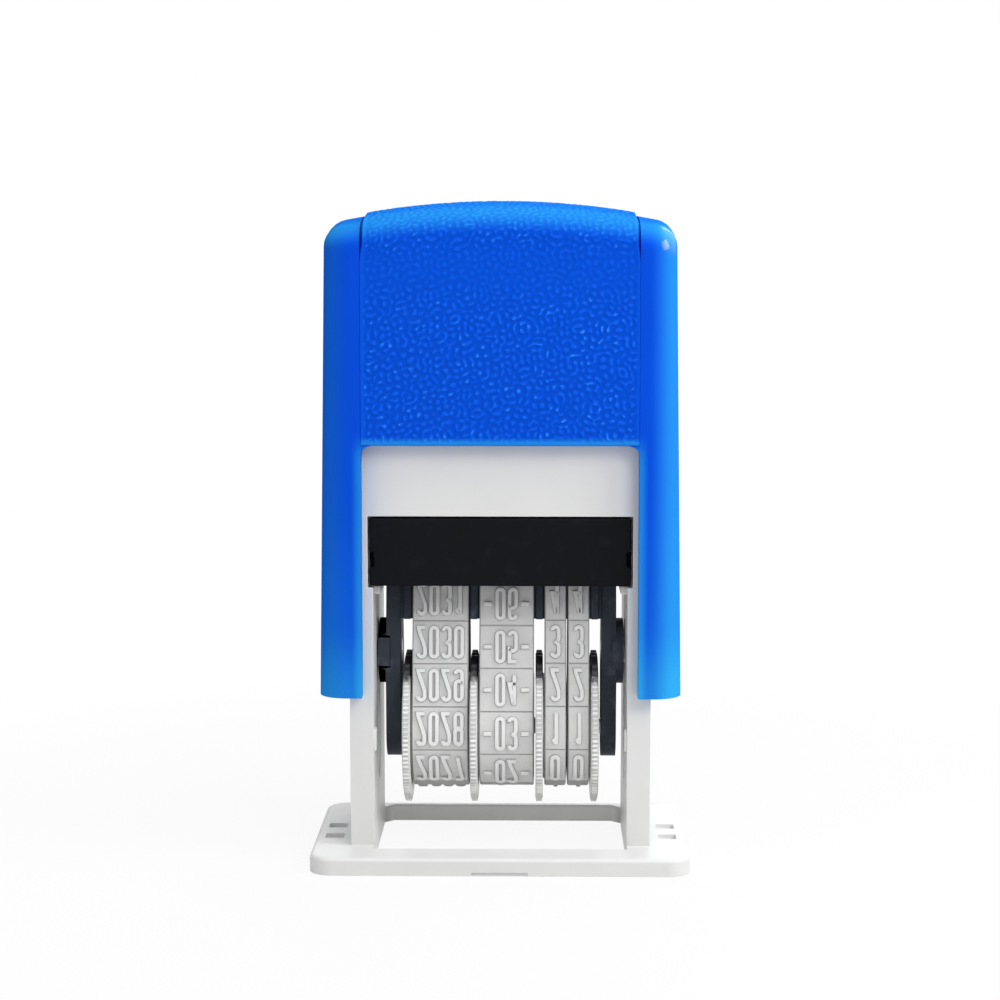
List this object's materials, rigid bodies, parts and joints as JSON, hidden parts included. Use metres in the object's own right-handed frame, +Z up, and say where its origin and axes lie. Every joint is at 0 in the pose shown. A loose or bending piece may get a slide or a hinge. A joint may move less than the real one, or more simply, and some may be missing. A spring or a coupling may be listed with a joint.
{
  "type": "self-inking date stamp",
  "caption": "Upright self-inking date stamp: a spring cap pressed over a frame flips a carriage of dated rubber bands from the ink pad to the paper.",
  "frame": {"origin": "middle of the base's underside, on the table", "axes": "+Z up along the cap's travel, -Y towards the front with the paper window's wide bar, +X to the right seen from the front"},
  "size_m": [0.045, 0.028, 0.079],
  "materials": {
    "cap_blue": "smooth moulded blue plastic",
    "grip_blue": "blue plastic with a leather grain",
    "frame_white": "moulded white plastic",
    "black_plastic": "satin black plastic",
    "band_rubber": "pale grey rubber with raised type",
    "wheel_white": "white plastic with fine teeth on the rim",
    "steel": "drawn wire and turned pin",
    "ink_felt": "ink-soaked felt"
  },
  "bodies": {
    "frame": {"base_frame": "frame_white", "return_spring": "steel"},
    "cap": {"cap_shell": "cap_blue", "grip_cover": "grip_blue"},
    "carriage": {"left_cheek": "black_plastic", "right_cheek": "black_plastic", "platen": "black_plastic", "wheel_shaft": "steel", "shaft_clips": "steel", "left_pivot_pin": "steel", "right_pivot_pin": "steel", "year_band": "band_rubber", "month_band": "band_rubber", "day_tens_band": "band_rubber", "day_units_band": "band_rubber"},
    "year_dial": {"year_wheel": "wheel_white"},
    "month_dial": {"month_wheel": "wheel_white"},
    "day_tens_dial": {"day_tens_wheel": "wheel_white"},
    "day_units_dial": {"day_units_wheel": "wheel_white"},
    "ink_cartridge": {"ink_tray": "black_plastic", "ink_pad": "ink_felt"}
  },
  "joints": [
    {"name": "cap_press", "type": "slide", "parent": "frame", "child": "cap", "axis": [0, 0, -1], "range_m": [0, 0.0144], "stiffness_N_per_m": 600, "springref_m": -0.01, "deforming": ["return_spring"]},
    {"name": "carriage_flip", "type": "hinge", "parent": "cap", "child": "carriage", "pos_m": [0, 0.0017, 0.0242], "axis": [-1, 0, 0], "range_deg": [0, 180]},
    {"name": "year_turn", "type": "hinge", "parent": "carriage", "child": "year_dial", "pos_m": [0, 0.0017, 0.0148], "axis": [1, 0, 0], "continuous": true},
    {"name": "month_turn", "type": "hinge", "parent": "carriage", "child": "month_dial", "pos_m": [0, 0.0017, 0.0148], "axis": [1, 0, 0], "continuous": true},
    {"name": "day_tens_turn", "type": "hinge", "parent": "carriage", "child": "day_tens_dial", "pos_m": [0, 0.0017, 0.0148], "axis": [1, 0, 0], "continuous": true},
    {"name": "day_units_turn", "type": "hinge", "parent": "carriage", "child": "day_units_dial", "pos_m": [0, 0.0017, 0.0148], "axis": [1, 0, 0], "continuous": true},
    {"name": "ink_draw", "type": "slide", "parent": "frame", "child": "ink_cartridge", "axis": [0, 1, 0], "range_m": [-0.022, 0]}
  ],
  "couplings": [
    {"joint": "carriage_flip", "follows": "cap_press", "rad_per_m": 218.1}
  ]
}
